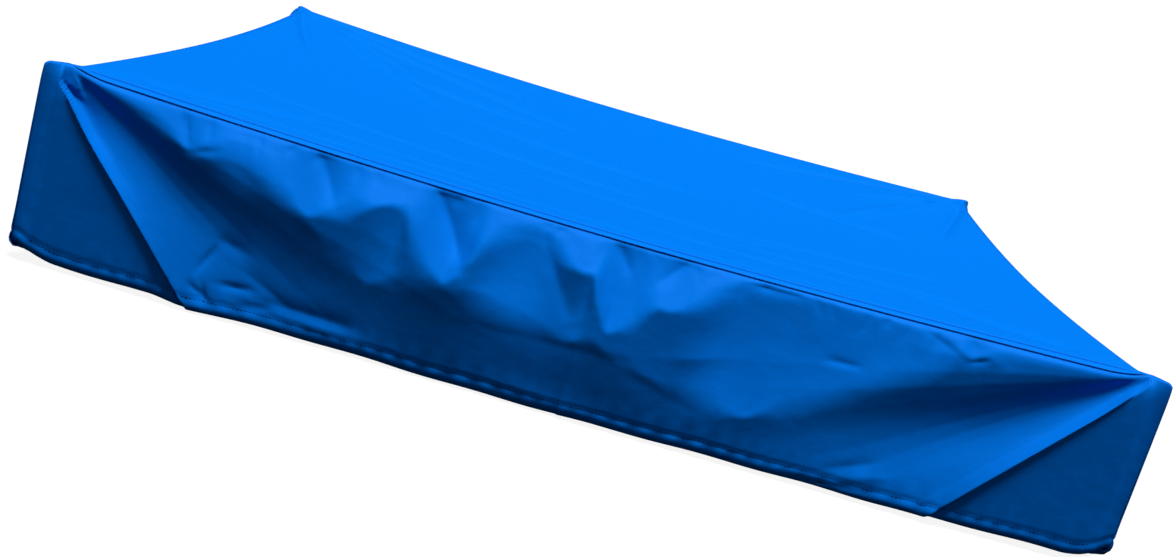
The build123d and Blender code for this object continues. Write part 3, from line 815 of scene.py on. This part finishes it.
def place_sand(u, v):
    """Points of the sand's surface, with heaps and hollows a few millimetres high."""
    x, y = (u - 0.5) * 2 * sand_half, (0.5 - v) * 2 * sand_half
    rise = np.zeros(len(x))
    for hill_x, hill_y, width, height in hills:
        rise += height * np.exp(-((x - hill_x) ** 2 + (y - hill_y) ** 2) / width ** 2)
    rise = np.clip(rise, -14, 4) * step(sand_half - np.maximum(np.abs(x), np.abs(y)), 0, 0.03)
    return np.stack([x, y, sand_top + rise * MM], axis=1)


sand = grid_piece("sand_surface", SAND_CELLS, SAND_CELLS, place_sand)
shape = bmesh.new()
shape.from_mesh(sand.data)
rim = [edge for edge in shape.edges if edge.is_boundary]
walls = bmesh.ops.extrude_edge_only(shape, edges=rim)["geom"]
for vert in (part for part in walls if isinstance(part, bmesh.types.BMVert)):
    vert.co.z = sand_bottom
bmesh.ops.holes_fill(shape, edges=[edge for edge in shape.edges if edge.is_boundary], sides=0)
bmesh.ops.recalc_face_normals(shape, faces=shape.faces)
shape.to_mesh(sand.data)
shape.free()
sand.data.materials.append(play_sand)
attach(sand, "sandbox")
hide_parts("sand_fill")

woven_tape, tree = new_material("woven polypropylene tape, anthracite")
where = add_node(tree, "ShaderNodeTexCoord")
weft, warp = (add_node(tree, "ShaderNodeTexWave", {"bands_direction": axis},
                       Vector=where.outputs["Object"], Scale=60.0) for axis in "XY")
weave = add_node(tree, "ShaderNodeMath", {"operation": "MULTIPLY"}, i0=weft.outputs[1], i1=warp.outputs[1])
weave_bump = add_node(tree, "ShaderNodeBump", Strength=0.5, Distance=0.0004, Height=weave.outputs[0])
tape_shader = add_node(tree, "ShaderNodeBsdfPrincipled", Base_Color=linear("#34373a"), Roughness=0.55,
                       Normal=weave_bump.outputs[0])
add_node(tree, "ShaderNodeOutputMaterial", Surface=tape_shader.outputs[0])

low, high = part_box("ground_sheet")
sheet_half = high[0]
ground = grid_piece("ground_cloth", 60, 60, lambda u, v: np.stack(
    [(u - 0.5) * 2 * sheet_half, (0.5 - v) * 2 * sheet_half, np.full(len(u), high[2])], axis=1))
ground_thickness = ground.modifiers.new("cloth thickness", "SOLIDIFY")
ground_thickness.thickness = high[2] - low[2]
ground_thickness.offset = -1.0
ground.data.materials.append(woven_tape)
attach(ground, "sandbox")
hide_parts("ground_sheet")
print("sand", len(sand.data.polygons), "faces, ground sheet", round(2 * sheet_half, 3), "m square")

# %% [markdown]
# ## Timber
#
# The boards, posts, seats and cleats are planed pine, and the post caps are a harder, darker wood. In
# pine the pale spring wood and the darker summer wood make bands a few millimetres wide that run the
# length of the piece, with a knot here and there. A noise texture stretched along the grain gives the
# bands, drawn up to 15 mm wide so that they show from a distance. A much finer one, 2 mm wide, gives
# the fibres, and a Voronoi pattern the knots. Each direction of board needs its own material, because
# the grain follows the piece and Object coordinates don't turn with it.

# %% Timber
def timber(name, grain, spring, summer, knot, roughness):
    """Planed wood whose grain runs along one axis, 0 to 2."""
    material, tree = new_material(name)
    where = add_node(tree, "ShaderNodeTexCoord")
    # the noise is 22 times finer across the grain than along it
    stretch = [1.0 if axis == grain else 22.0 for axis in range(3)]
    bands_at = add_node(tree, "ShaderNodeMapping", Vector=where.outputs["Object"],
                        Scale=[3.0 * value for value in stretch])
    fibres_at = add_node(tree, "ShaderNodeMapping", Vector=where.outputs["Object"],
                         Scale=[24.0 * value for value in stretch])
    knots_at = add_node(tree, "ShaderNodeMapping", Vector=where.outputs["Object"],
                        Scale=[3.4 if axis == grain else 9.0 for axis in range(3)])
    bands = add_node(tree, "ShaderNodeTexNoise", Vector=bands_at.outputs[0], Scale=1.0, Detail=3.0,
                     Distortion=0.6)
    fibres = add_node(tree, "ShaderNodeTexNoise", Vector=fibres_at.outputs[0], Scale=1.0, Detail=2.0)
    knots = add_node(tree, "ShaderNodeTexVoronoi", Vector=knots_at.outputs[0], Scale=1.0)
    band_share = add_node(tree, "ShaderNodeMapRange", i0=bands.outputs[0], i1=0.4, i2=0.62)
    wood = add_node(tree, "ShaderNodeMix", {"data_type": "RGBA"}, i0=band_share.outputs[0],
                    i6=linear(spring), i7=linear(summer))
    fibre_share = add_node(tree, "ShaderNodeMapRange", i0=fibres.outputs[0], i1=0.45, i2=0.75, i4=0.4)
    fibred = add_node(tree, "ShaderNodeMix", {"data_type": "RGBA"}, i0=fibre_share.outputs[0],
                      i6=wood.outputs[2], i7=linear(summer))
    knot_share = add_node(tree, "ShaderNodeMapRange", i0=knots.outputs["Distance"], i1=0.13, i2=0.06)
    knotted = add_node(tree, "ShaderNodeMix", {"data_type": "RGBA"}, i0=knot_share.outputs[0],
                       i6=fibred.outputs[2], i7=linear(knot))
    bump = add_node(tree, "ShaderNodeBump", Strength=0.3, Distance=0.0006, Height=fibres.outputs[0])
    shader = add_node(tree, "ShaderNodeBsdfPrincipled", Base_Color=knotted.outputs[2], Roughness=roughness,
                      Normal=bump.outputs[0])
    add_node(tree, "ShaderNodeOutputMaterial", Surface=shader.outputs[0])
    return material


PINE = ("#d9b27c", "#b07c45", "#6b4020", 0.62)
pine = [timber(f"planed pine, grain along {axis}", number, *PINE) for number, axis in enumerate("XYZ")]
cap_wood = timber("oiled acacia", 0, "#8a5a34", "#5f3a1f", "#3c2312", 0.5)

# %% [markdown]
# ## Metal
#
# The screws are steel with a thin bright zinc plate, mottled in spots of about 1.5 mm. The sleeve that
# joins the ends of the elastic is soft aluminium tube, pressed flat by the crimping tool, with spots
# of about 2 mm.

# %% Metal
def metal(name, colour, roughness, mottle):
    """A bare metal with fine unevenness from how it was made."""
    material, tree = new_material(name)
    where = add_node(tree, "ShaderNodeTexCoord")
    cloud = add_node(tree, "ShaderNodeTexNoise", Vector=where.outputs["Object"], Scale=mottle, Detail=3.0)
    dull = add_node(tree, "ShaderNodeMapRange", i0=cloud.outputs[0], i3=roughness - 0.08,
                    i4=roughness + 0.12)
    bump = add_node(tree, "ShaderNodeBump", Strength=0.15, Distance=0.0002, Height=cloud.outputs[0])
    shader = add_node(tree, "ShaderNodeBsdfPrincipled", Base_Color=linear(colour), Metallic=1.0,
                      Roughness=dull.outputs[0], Normal=bump.outputs[0])
    add_node(tree, "ShaderNodeOutputMaterial", Surface=shader.outputs[0])
    return material


zinc = metal("zinc-plated steel", "#c3c7cb", 0.34, 700.0)
aluminium = metal("drawn aluminium", "#d3d4d5", 0.3, 500.0)

dressed = {}
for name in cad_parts:
    node = bpy.data.objects[name]
    if name.startswith("board_screws") or name in ("cleat_screws", "seat_screws"):
        finish = zinc
    elif name == "elastic_crimp":
        finish = aluminium
    elif name.startswith("cap"):
        finish = cap_wood
    elif name.startswith("post"):
        finish = pine[2]
    elif name.startswith(("board", "seat", "cleat")):
        size = [top - bottom for bottom, top in zip(*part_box(name))]
        finish = pine[1] if size[1] > size[0] else pine[0]
    else:
        continue
    node.data.materials.clear()
    node.data.materials.append(finish)
    dressed[finish.name] = dressed.get(finish.name, 0) + 1
print("CAD nodes by finish:", dressed)
